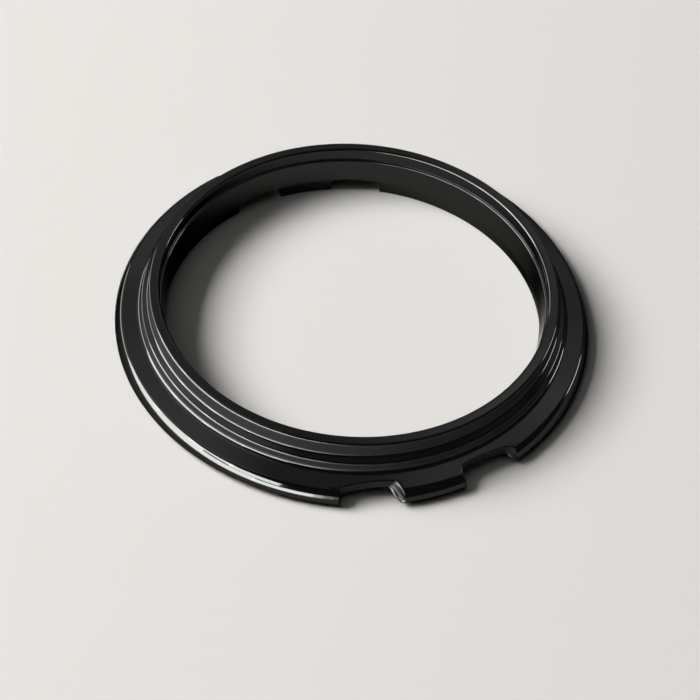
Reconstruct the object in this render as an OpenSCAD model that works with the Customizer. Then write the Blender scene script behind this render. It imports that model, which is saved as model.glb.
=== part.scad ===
// Fixed watch bezel: a turned and milled ring with two raised steps, a sloping brim,
// a bore that seats the crystal, and a thin skirt that drops over the neck of the case.
// Millimetres. Z = 0 is the foot of the skirt, +Z points to the crystal,
// and the first of the two tabs lies on the -Y axis, at the wearer's end of the dial.

/* [Ring] */
// Overall height, from the foot of the skirt to the inner edge of the top face
ring_h = 4.91; // [4.7:0.01:5.6]
// Height of the rim above the foot of the skirt
rim_lift = 0.50; // [0.2:0.05:0.6]

/* [Crystal seat and bore] */
// Diameter of the bore that the crystal and its gasket press into; the whole ring is built round it
seat_d = 34.04; // [30:0.02:40]
// Depth of the seat below the top face
seat_depth = 1.29; // [0.9:0.01:1.6]
// Width of the ledge at the bottom of the seat
seat_ledge_w = 0.18; // [0.12:0.01:0.3]
// How far the bore closes in from the seat's ledge to its throat
throat_draft = 0.31; // [0.2:0.01:0.36]

/* [Top face and steps] */
// Width of the top face, from the seat to the upper riser
land_w = 0.98; // [0.8:0.01:1.1]
// How far the top face falls towards its outer edge
land_fall = 0.11; // [0.02:0.01:0.2]
// Height of the upper riser
upper_riser_h = 1.38; // [1.2:0.01:1.5]
// Width of the ledge between the two risers
ledge_w = 0.69; // [0.5:0.01:0.8]
// How far that ledge falls towards its outer edge
ledge_fall = 0.30; // [0.1:0.01:0.4]
// Height of the lower riser
lower_riser_h = 0.94; // [0.8:0.01:1.05]
// Radius of the fillet at the foot of the upper riser
ledge_fillet_r = 0.12; // [0.05:0.01:0.2]
// Radius of the fillet at the foot of the lower riser
brim_fillet_r = 0.28; // [0.1:0.01:0.35]
// Radius that breaks the sharp turned edges
edge_r = 0.05; // [0.03:0.01:0.05]

/* [Brim and rim] */
// Width of the brim, from the lower riser to its edge
brim_w = 1.77; // [1.6:0.01:2.2]
// How far the brim falls from the lower riser to its edge
brim_fall = 0.50; // [0.3:0.01:0.6]
// Thickness of the brim, measured straight down where its underside turns down to the rim
brim_t = 0.85; // [0.7:0.01:0.9]
// Width of the steep polished bevel from the edge of the brim out to the rim
bevel_w = 0.54; // [0.4:0.01:0.65]
// Height of the upright band at the rim, up to where it would meet the bevel in a corner
rim_band_h = 0.28; // [0.24:0.01:0.4]
// Radius that rounds the band over into the bevel
rim_round_r = 0.60; // [0.3:0.05:0.65]
// Width of the flat foot under the rim
rim_foot_w = 0.16; // [0.12:0.01:0.3]

/* [Skirt and underside] */
// How far the inside of the skirt, which goes over the neck of the case, stands in from the seat
skirt_inset = 0.28; // [0.2:0.01:0.4]
// Thickness of the skirt's wall
skirt_wall = 1.16; // [0.9:0.01:1.25]
// Height of the throat above the foot of the skirt
throat_lift = 1.42; // [1.2:0.01:1.6]
// How far the underside of the brim falls from the skirt to its break
under_fall = 0.17; // [0.05:0.01:0.25]
// Distance from the deepest point of the rim notches in to the break, where the underside turns down
under_break_in = 0.25; // [0.1:0.05:0.4]

/* [Tabs and notches] */
// Angle from a tab's centre line to the centre of each rim notch beside it
rim_notch_pitch = 14.97; // [14:0.01:18]
// Angle that each rim notch takes up at the rim
rim_notch_angle = 14.70; // [12:0.1:16]
// Angle by which a rim notch's end beside the tab closes in from the rim to the wall
rim_notch_tab_flare = 1.45; // [0.5:0.05:2]
// Angle by which a rim notch's other end closes in from the rim to the wall
rim_notch_end_flare = 0.50; // [0.2:0.05:1.5]
// Depth of the rim notches at their deepest, measured in from the rim
rim_notch_depth = 1.42; // [1.1:0.01:1.5]
// Angle from a tab's centre line to the deepest point of each rim notch beside it
rim_notch_deep_pitch = 12.85; // [11:0.05:15]
// Radius of the large cutter that hollows the wall of the rim notches
rim_notch_cutter_r = 17.8; // [14:0.1:30]
// Radius of the inner corners of the rim notches
rim_notch_corner_r = 0.25; // [0.2:0.01:0.35]
// Angle from a tab's centre line to the centre of each skirt notch beside it
skirt_notch_pitch = 15.95; // [15:0.01:18]
// Width of each skirt notch, between its parallel sides
skirt_notch_w = 4.48; // [4:0.01:5]
// How far the skirt notches run up past the edge of the throat
skirt_notch_over = 0.04; // [0.02:0.01:0.1]
// Radius that the cutter leaves in the top corners of the skirt notches
skirt_notch_corner_r = 0.50; // [0.2:0.01:0.6]
// Angle by which the second tab is off the diameter of the first, towards +X
tab_key_angle = 4.55; // [0:0.05:6]

/* [Case seal] */
// Diameter of the seal's rubber cord
seal_cord_d = 0.70; // [0.6:0.01:0.75]
// How far the seal stands out of its groove
seal_proud = 0.12; // [0.05:0.01:0.2]
// Gap between the cord and each wall of its groove
seal_clearance = 0.03; // [0.02:0.01:0.06]
// Metal between the skirt and the seal's groove
seal_land_w = 0.14; // [0.12:0.01:0.16]

/* [Hidden] */
$fn = 180;
ARC_STEPS = 5;
WALL_STEPS = 8;
OVERCUT = 1;

// Radii, from the bore outwards
seat_r = seat_d / 2;
ledge_lip_r = seat_r - seat_ledge_w;
throat_r = ledge_lip_r - throat_draft;
skirt_in_r = seat_r - skirt_inset;
skirt_out_r = skirt_in_r + skirt_wall;
land_out_r = seat_r + land_w;
ledge_out_r = land_out_r + ledge_w;
brim_out_r = ledge_out_r + brim_w;
rim_r = brim_out_r + bevel_w;
rim_foot_r = rim_r - rim_foot_w;
rim_notch_deep_r = rim_r - rim_notch_depth;

// Heights, from the top face down
land_out_z = ring_h - land_fall;
ledge_in_z = land_out_z - upper_riser_h;
ledge_out_z = ledge_in_z - ledge_fall;
brim_in_z = ledge_out_z - lower_riser_h;
brim_out_z = brim_in_z - brim_fall;
seat_floor_z = ring_h - seat_depth;

// Underside, which follows the slope of the brim above it
brim_slope = brim_fall / (brim_out_r - ledge_out_r);
under_break_r = rim_notch_deep_r - under_break_in;
brim_at_break_z = brim_in_z - brim_slope * (under_break_r - ledge_out_r);
under_break_z = brim_at_break_z - brim_t;
under_in_z = under_break_z + under_fall;
skirt_step = skirt_in_r - throat_r;

// Groove of the seal, just outside the skirt
groove_in_r = skirt_out_r + seal_land_w;
groove_w = seal_cord_d + 2 * seal_clearance;
seal_r = groove_in_r + groove_w / 2;
seal_under_z = under_in_z - under_fall * (seal_r - skirt_out_r) / (under_break_r - skirt_out_r);
seal_z = seal_under_z - seal_proud + seal_cord_d / 2;
groove_roof_z = seal_z + seal_cord_d / 2;

// Direction of each tab's centre line
TAB_ANGLES = [-90, 90 - tab_key_angle];

// Turned outline of the ring: radius, height and rounding of each corner in turn
ring_outline = [
    [skirt_in_r, 0, edge_r],
    [skirt_out_r, 0, edge_r],
    [skirt_out_r, under_in_z, edge_r],
    [under_break_r, under_break_z, 0],
    [rim_foot_r, rim_lift, edge_r],
    [rim_r, rim_lift, edge_r],
    [rim_r, rim_lift + rim_band_h, rim_round_r],
    [brim_out_r, brim_out_z, edge_r],
    [ledge_out_r, brim_in_z, brim_fillet_r],
    [ledge_out_r, ledge_out_z, edge_r],
    [land_out_r, ledge_in_z, ledge_fillet_r],
    [land_out_r, land_out_z, edge_r],
    [seat_r, ring_h, edge_r],
    [seat_r, seat_floor_z, edge_r],
    [ledge_lip_r, seat_floor_z, edge_r],
    [throat_r, throat_lift, 0],
    [skirt_in_r, throat_lift - skirt_step, 0]
];

function unit(v) = v / norm(v);

// Points of the arc that rounds corner p between its neighbours
function round_corner(before, p, after, r) =
    let (
        to_before = unit(before - p),
        to_after = unit(after - p),
        half = acos(to_before * to_after) / 2,
        reach = r / tan(half),
        centre = p + unit(to_before + to_after) * r / sin(half),
        first = (p + to_before * reach - centre) / r,
        last = (p + to_after * reach - centre) / r,
        sweep = 180 - 2 * half
    )
    [for (i = [0 : ARC_STEPS])
        let (a = sweep * i / ARC_STEPS)
        centre + r * (sin(sweep - a) * first + sin(a) * last) / sin(sweep)];

function xy(corner) = [corner[0], corner[1]];

function rounded(corners) =
    let (n = len(corners))
    [for (i = [0 : n - 1])
        let (p = corners[i], before = corners[(i + n - 1) % n], after = corners[(i + 1) % n])
        each p[2] > 0 ? round_corner(xy(before), xy(p), xy(after), p[2]) : [xy(p)]];

function polar(r, angle) = r * [cos(angle), sin(angle)];

// Radius of a rim notch's wall at an angle from the tab's centre line
function rim_notch_wall_r(angle) =
    let (
        cutter_centre_r = rim_notch_deep_r + rim_notch_cutter_r,
        off = angle - rim_notch_deep_pitch
    )
    cutter_centre_r * cos(off) - sqrt(pow(rim_notch_cutter_r, 2) - pow(cutter_centre_r * sin(off), 2));

// Cutter for the rim notch on one side of a tab, right through the brim. Its wall is hollow
// and deepest near the tab, its inner corners are round, and its ends open towards the rim.
module rim_notch(tab, side) {
    tab_end = rim_notch_pitch - rim_notch_angle / 2;
    far_end = rim_notch_pitch + rim_notch_angle / 2;
    wall_start = tab_end + rim_notch_tab_flare;
    wall_end = far_end - rim_notch_end_flare;
    wall = [for (i = [0 : WALL_STEPS])
        let (
            angle = wall_start + (wall_end - wall_start) * i / WALL_STEPS,
            corner_r = i == 0 || i == WALL_STEPS ? rim_notch_corner_r : 0
        )
        [each polar(rim_notch_wall_r(angle), side * angle), corner_r]];
    outside = [for (end = [[far_end, wall_end], [tab_end, wall_start]])
        let (
            at_rim = polar(rim_r, side * end[0]),
            at_wall = polar(rim_notch_wall_r(end[1]), side * end[1])
        )
        [each at_rim + OVERCUT * unit(at_rim - at_wall), 0]];
    rotate([0, 0, tab])
        translate([0, 0, -OVERCUT])
            linear_extrude(height = brim_in_z + 2 * OVERCUT)
                polygon(rounded(concat(wall, outside)));
}

// Cutter for one skirt notch, from the bore out into the seal's groove, with round top corners
module skirt_notch(middle) {
    inner_r = throat_r - OVERCUT;
    half_w = skirt_notch_w / 2;
    roof_z = throat_lift + skirt_notch_over;
    rotate([90, 0, 90 + middle])
        translate([0, 0, inner_r])
            linear_extrude(height = seal_r - inner_r)
                polygon(rounded([
                    [-half_w, -OVERCUT, 0],
                    [half_w, -OVERCUT, 0],
                    [half_w, roof_z, skirt_notch_corner_r],
                    [-half_w, roof_z, skirt_notch_corner_r]
                ]));
}

module bezel_ring() {
    color("#17181a")
        difference() {
            rotate_extrude()
                polygon(rounded(ring_outline));
            rotate_extrude()
                translate([groove_in_r, 0])
                    square([groove_w, groove_roof_z]);
            for (tab = TAB_ANGLES, side = [-1, 1]) {
                rim_notch(tab, side);
                skirt_notch(tab + side * skirt_notch_pitch);
            }
        }
}

// Rubber ring that seals the underside of the brim against the case
module case_seal() {
    color("#26282a")
        rotate_extrude()
            translate([seal_r, seal_z])
                circle(d = seal_cord_d);
}

bezel_ring();
case_seal();
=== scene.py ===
"""A polished black watch bezel and its case seal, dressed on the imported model.

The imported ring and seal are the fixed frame. The ring's visible skin is worked out again here as
one closed grid, a turned profile carried round the axis, with every edge's real rounding and with
the milled notches run into the same grid. Sizes are millimetres until a mesh is made.
"""

import logging
import math
from collections.abc import Callable
from dataclasses import dataclass, field
from enum import Enum

import bpy
import numpy as np
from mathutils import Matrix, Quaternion, Vector


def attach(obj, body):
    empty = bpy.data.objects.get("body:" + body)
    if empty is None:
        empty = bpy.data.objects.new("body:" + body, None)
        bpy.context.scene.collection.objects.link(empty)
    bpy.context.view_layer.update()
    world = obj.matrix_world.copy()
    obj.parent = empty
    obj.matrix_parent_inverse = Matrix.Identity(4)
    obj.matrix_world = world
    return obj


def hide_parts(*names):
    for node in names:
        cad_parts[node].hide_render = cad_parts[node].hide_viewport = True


LOG = logging.getLogger("bezel")
MM = 0.001
FRAME_PIXELS = 700
FRONT = 247.3
MILLED = "milled"
REFERENCE_R = 20.0
FINE_R = 0.1
FINE_CHORDS = 4
ARC_CHORDS = 6
HAIR = 1e-6

Span = tuple[float, float]
Values = np.ndarray | float

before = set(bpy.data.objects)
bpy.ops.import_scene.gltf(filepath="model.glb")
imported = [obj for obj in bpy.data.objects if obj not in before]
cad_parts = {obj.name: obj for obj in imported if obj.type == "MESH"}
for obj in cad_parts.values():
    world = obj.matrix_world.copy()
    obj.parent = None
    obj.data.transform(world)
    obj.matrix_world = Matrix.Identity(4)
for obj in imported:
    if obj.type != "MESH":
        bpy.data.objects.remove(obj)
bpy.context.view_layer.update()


def linear(hex_colour: str) -> tuple[float, float, float, float]:
    """Turns an sRGB hex colour into a linear one.

    Args:
        hex_colour: The colour, such as "#1a1b1d".

    Returns:
        Linear red, green and blue, and an alpha of 1.
    """
    shares = [int(hex_colour[i : i + 2], 16) / 255 for i in (1, 3, 5)]
    red, green, blue = [c / 12.92 if c <= 0.04045 else ((c + 0.055) / 1.055) ** 2.4 for c in shares]
    return red, green, blue, 1.0


def placed(name: str, data: bpy.types.ID) -> bpy.types.Object:
    """Returns a new object of the scene that shows a mesh, a lamp or a camera."""
    made = bpy.data.objects.new(name, data)
    bpy.context.scene.collection.objects.link(made)
    return made


def toward(azimuth: float, elevation: float) -> Vector:
    """Returns the direction at an azimuth and an elevation, given in degrees."""
    turn, lift = math.radians(azimuth), math.radians(elevation)
    return Vector((math.cos(lift) * math.cos(turn), math.cos(lift) * math.sin(turn), math.sin(lift)))


def ease(share: np.ndarray) -> np.ndarray:
    """Goes smoothly from 0 to 1 as share does: 3 s squared less 2 s cubed."""
    held = np.clip(share, 0.0, 1.0)
    return held * held * (3.0 - 2.0 * held)


def rounding(rho: float, turn: np.ndarray) -> tuple[np.ndarray, np.ndarray]:
    """Goes round an edge: at turn a it has dropped by rho (1 - cos a) and is rho (1 - sin a) behind."""
    return rho * (1 - np.cos(turn)), rho * (1 - np.sin(turn))


def spaced(span: Span, count: int) -> np.ndarray:
    """Returns evenly spaced values from one end of a span to the other."""
    return np.linspace(span[0], span[1], count)


def arc_points(
    before: np.ndarray, corner: np.ndarray, after: np.ndarray, radius: float, steps: int
) -> np.ndarray:
    """Rounds a corner of a profile with a true arc.

    The arc's centre lies on the corner's bisector, radius / sin(half the corner's angle) away, and
    the points turn round it in equal steps from one tangent point to the other.

    Args:
        before: The profile's corner before this one, as radius and height.
        corner: The corner to round.
        after: The next corner.
        radius: The arc's radius.
        steps: How many chords the arc has.

    Returns:
        An array of steps + 1 points.
    """
    to_before = (before - corner) / np.linalg.norm(before - corner)
    to_after = (after - corner) / np.linalg.norm(after - corner)
    half = math.acos(float(to_before @ to_after)) / 2
    bisector = (to_before + to_after) / np.linalg.norm(to_before + to_after)
    centre = corner + bisector * radius / math.sin(half)
    reach = radius / math.tan(half)
    first = (corner + to_before * reach - centre) / radius
    last = (corner + to_after * reach - centre) / radius
    sweep = math.pi - 2 * half
    turn = np.linspace(0.0, sweep, steps + 1)[:, None]
    return centre + radius * (np.sin(sweep - turn) * first + np.sin(turn) * last) / math.sin(sweep)


def turned_line(corners: list[tuple[float, float, float]], support: float, gap: float) -> np.ndarray:
    """Works out a profile from its corners, with arcs at the rounded ones.

    Each straight stretch has a support point close to either end, which keeps the shading of the
    stretch flat right up to the arc, and enough points between for no gap to pass the widest.

    Args:
        corners: Radius, height and rounding of each corner. The first and last are only ends.
        support: Distance from an arc to its support point.
        gap: The widest gap between two points of a straight stretch.

    Returns:
        An array of points, radius and height, from the first corner to the last.
    """
    spots = np.array([corner[:2] for corner in corners])
    arcs = [spots[:1]]
    for i in range(1, len(corners) - 1):
        radius = corners[i][2]
        if radius > 0:
            chords = FINE_CHORDS if radius < FINE_R else ARC_CHORDS
            arcs.append(arc_points(spots[i - 1], spots[i], spots[i + 1], radius, chords))
        else:
            arcs.append(spots[i : i + 1])
    arcs.append(spots[-1:])
    pieces = [arcs[0]]
    for one, two in zip(arcs[:-1], arcs[1:]):
        run = two[0] - one[-1]
        length = float(np.linalg.norm(run))
        if length > 4 * support:
            inner = max(1, math.ceil((length - 2 * support) / gap))
            along = spaced((support, length - support), inner + 1)[:, None] / length
            pieces.append(one[-1] + along * run)
        pieces.append(two)
    return np.concatenate(pieces)


def inward_normals(line: np.ndarray) -> np.ndarray:
    """Returns the unit normals of a profile, into the metal on the left of its direction."""
    run = np.gradient(line, axis=0)
    run /= np.linalg.norm(run, axis=1)[:, None]
    return np.stack([-run[:, 1], run[:, 0]], axis=1)


def length_share(line: np.ndarray) -> np.ndarray:
    """Returns how far along a profile each point lies, from 0 at its start to 1 at its end."""
    lengths = np.concatenate([[0], np.cumsum(np.hypot(*np.diff(line, axis=0).T))])
    return lengths / lengths[-1]


def closed_grid(name: str, points: np.ndarray) -> bpy.types.Object:
    """Makes an object from a grid of points that closes on itself both ways.

    Args:
        name: The object's name.
        points: Places in millimetres, as stations by profile points by 3.

    Returns:
        The object, at the origin, with smooth faces that point outwards.
    """
    stations, rows = points.shape[:2]
    here = np.arange(stations * rows).reshape(stations, rows)
    onward = np.roll(here, -1, axis=0)
    quads = np.stack([here, onward, np.roll(onward, -1, axis=1), np.roll(here, -1, axis=1)], axis=-1)
    flat = quads.reshape(-1, 4)
    corner = points.reshape(-1, 3)
    one, two, three, four = (corner[flat[:, i]] for i in range(4))
    volume = np.einsum("ij,ij->", one, np.cross(two, three) + np.cross(three, four)) / 6
    if volume < 0:
        flat = flat[:, ::-1]
    mesh = bpy.data.meshes.new(name)
    mesh.from_pydata((corner * MM).tolist(), [], flat.tolist())
    mesh.validate()
    mesh.polygons.foreach_set("use_smooth", np.ones(len(mesh.polygons), bool))
    mesh.update()
    LOG.info("%s holds %.1f mm3 in %d faces", name, abs(volume), len(mesh.polygons))
    return placed(name, mesh)


@dataclass(frozen=True)
class NotchEnd:
    """One end of a rim notch: how far it stands into the notch along its lower and upper edges.

    The distances are millimetres at REFERENCE_R, at the notch's wall (root) and at the rim (tip),
    and a power bends the edge between them. The angle is in degrees from the tab's centre line, and
    inward is 1 on the end beside the tab and -1 on the far one.
    """

    angle: float
    inward: int
    low_root: float
    top_root: float
    top_tip: float
    low_tip: float = 0.0
    low_power: float = 1.0
    top_power: float = 1.0


TAB_LEFT = NotchEnd(angle=7.62, inward=1, low_root=0.97, top_root=0.41, top_tip=-0.10, low_power=0.55)
TAB_RIGHT = NotchEnd(
    angle=7.62, inward=1, low_root=0.40, low_tip=-0.08, top_root=0.18, top_tip=-0.40, low_power=0.55
)
FAR_LEFT = NotchEnd(angle=22.32, inward=-1, low_root=0.06, top_root=-0.20, top_tip=-0.05)
FAR_RIGHT = NotchEnd(
    angle=22.32, inward=-1, low_root=0.42, top_root=0.30, top_tip=-0.30, low_power=0.6, top_power=1.6
)


@dataclass
class BezelRing:
    """The turned and milled ring: steps, brim, bevel, lip, bore, skirt, and its two pairs of notches."""

    seat_d: float = 34.04
    ring_h: float = 4.91
    rim_lift: float = 0.50
    seat_depth: float = 1.29
    seat_ledge_w: float = 0.18
    throat_draft: float = 0.31
    land_w: float = 0.98
    land_fall: float = 0.11
    upper_riser_h: float = 1.38
    ledge_w: float = 0.69
    ledge_fall: float = 0.30
    lower_riser_h: float = 0.94
    brim_fillet_r: float = 0.48
    edge_r: float = 0.05
    brim_w: float = 1.77
    brim_fall: float = 0.50
    brim_t: float = 0.85
    bevel_w: float = 0.54
    rim_band_h: float = 0.28
    rim_round_r: float = 0.60
    belly_in: float = 0.175
    belly_up: float = 0.70
    belly_r: float = 2.6
    brim_edge_r: float = 0.45
    seat_edge_r: float = 0.26
    lip_edge_r: float = 0.15
    step_edge_r: float = 0.25
    step_fillet_r: float = 0.33
    rim_foot_w: float = 0.16
    skirt_inset: float = 0.28
    skirt_wall: float = 1.16
    throat_lift: float = 1.42
    under_fall: float = 0.17
    under_break_in: float = 0.25
    rim_notch_depth: float = 1.42
    rim_notch_deep_pitch: float = 12.85
    rim_notch_cutter_r: float = 17.8
    rim_notch_corner_r: float = 0.25
    skirt_notch_pitch: float = 15.95
    skirt_notch_w: float = 4.48
    skirt_notch_over: float = 0.04
    skirt_notch_corner_r: float = 0.50
    tab_key_angle: float = 4.55
    seal_cord_d: float = 0.70
    seal_proud: float = 0.12
    seal_clearance: float = 0.03
    seal_land_w: float = 0.14
    notch_edge_r: float = 0.10

    # How the grid is laid: rows round a notch's edge and their spacing, how far from a notch the
    # outline is drawn towards it, where its gates lie elsewhere, degrees between plain stations,
    # the support points and widest gap of a straight stretch, where the steps' profile starts on
    # the brim, and how long before its break the underside's starts
    levels: int = 4
    gate_step: float = 0.014
    fade_length: float = 1.8
    open_gate_r: float = 19.85
    station_pitch: float = 0.88
    support: float = 0.03
    gap: float = 0.42
    steps_foot_r: float = 19.12
    under_lead: float = 0.25

    def __post_init__(self) -> None:
        """Works out the radii and heights that the rest is built on."""
        self.seat_r = self.seat_d / 2
        self.ledge_lip_r = self.seat_r - self.seat_ledge_w
        self.throat_r = self.ledge_lip_r - self.throat_draft
        self.skirt_in_r = self.seat_r - self.skirt_inset
        self.skirt_out_r = self.skirt_in_r + self.skirt_wall
        self.land_out_r = self.seat_r + self.land_w
        self.ledge_out_r = self.land_out_r + self.ledge_w
        self.brim_out_r = self.ledge_out_r + self.brim_w
        self.rim_r = self.brim_out_r + self.bevel_w
        self.rim_foot_r = self.rim_r - self.rim_foot_w
        self.deep_r = self.rim_r - self.rim_notch_depth
        self.land_out_z = self.ring_h - self.land_fall
        self.ledge_in_z = self.land_out_z - self.upper_riser_h
        self.ledge_out_z = self.ledge_in_z - self.ledge_fall
        self.brim_in_z = self.ledge_out_z - self.lower_riser_h
        self.brim_out_z = self.brim_in_z - self.brim_fall
        self.seat_floor_z = self.ring_h - self.seat_depth
        self.brim_slope = self.brim_fall / self.brim_w
        self.break_r = self.deep_r - self.under_break_in
        self.break_z = self.top_z(self.break_r) - self.brim_t
        self.under_in_z = self.break_z + self.under_fall
        self.groove_in_r = self.skirt_out_r + self.seal_land_w
        self.groove_out_r = self.groove_in_r + self.seal_cord_d + 2 * self.seal_clearance
        self.seal_r = (self.groove_in_r + self.groove_out_r) / 2
        self.seal_z = self.inner_under_z(self.seal_r) - self.seal_proud + self.seal_cord_d / 2
        self.groove_roof_z = self.seal_z + self.seal_cord_d / 2
        self.roof_z = self.throat_lift + self.skirt_notch_over
        self.half_w = self.skirt_notch_w / 2

    def top_z(self, r: Values) -> Values:
        """Height of the brim's upper face at a radius, which falls in a straight line."""
        return self.brim_in_z - self.brim_slope * (r - self.ledge_out_r)

    def under_z(self, r: Values) -> Values:
        """Height of the underside outside its break, which falls in a straight line to the rim's foot."""
        fall = (self.break_z - self.rim_lift) / (self.rim_foot_r - self.break_r)
        return self.break_z - fall * (r - self.break_r)

    def inner_under_z(self, r: Values) -> Values:
        """Height of the brim's underside between the skirt and the break."""
        run = self.break_r - self.skirt_out_r
        return self.under_in_z - self.under_fall * (r - self.skirt_out_r) / run

    def throat_at(self, z: Values) -> Values:
        """Radius of the tapering throat at a height."""
        share = (z - self.throat_lift) / (self.seat_floor_z - self.throat_lift)
        return self.throat_r + share * (self.ledge_lip_r - self.throat_r)

    def wall_r(self, psi: Values) -> Values:
        """Radius of a rim notch's wall at an angle from the tab's centre line.

        The wall is the near side of a circle of the cutter's radius, with its centre on the line
        through the notch's deepest point: L cos(off) less the root of rho squared less (L sin(off))
        squared.
        """
        reach = self.deep_r + self.rim_notch_cutter_r
        off = psi - math.radians(self.rim_notch_deep_pitch)
        return reach * np.cos(off) - np.sqrt(self.rim_notch_cutter_r**2 - (reach * np.sin(off)) ** 2)

    def core_lines(self) -> tuple[np.ndarray, np.ndarray, np.ndarray]:
        """Profiles that no notch cuts.

        Returns:
            The steps and the bore, the seal's groove, and the underside up to its break.
        """
        steps = turned_line(
            [
                (self.steps_foot_r, self.top_z(self.steps_foot_r), 0),
                (self.ledge_out_r, self.brim_in_z, self.brim_fillet_r),
                (self.ledge_out_r, self.ledge_out_z, self.step_edge_r),
                (self.land_out_r, self.ledge_in_z, self.step_fillet_r),
                (self.land_out_r, self.land_out_z, self.step_edge_r),
                (self.seat_r, self.ring_h, self.seat_edge_r),
                (self.seat_r, self.seat_floor_z, self.edge_r),
                (self.ledge_lip_r, self.seat_floor_z, self.lip_edge_r),
                (self.throat_at(self.roof_z), self.roof_z, 0),
            ],
            self.support,
            self.gap,
        )[:-1]
        groove = np.array(
            [
                (self.groove_in_r, (self.roof_z + self.groove_roof_z) / 2),
                (self.groove_in_r, self.groove_roof_z),
                (self.seal_r, self.groove_roof_z),
                (self.groove_out_r, self.groove_roof_z),
                (self.groove_out_r, (self.groove_roof_z + self.break_z) / 2),
                (self.groove_out_r, self.inner_under_z(self.groove_out_r)),
            ]
        )
        under_r = self.break_r - np.array([self.under_lead, self.support, 0.0])
        under = np.stack([under_r, self.inner_under_z(under_r)], axis=1)
        return steps, groove, under


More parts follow.
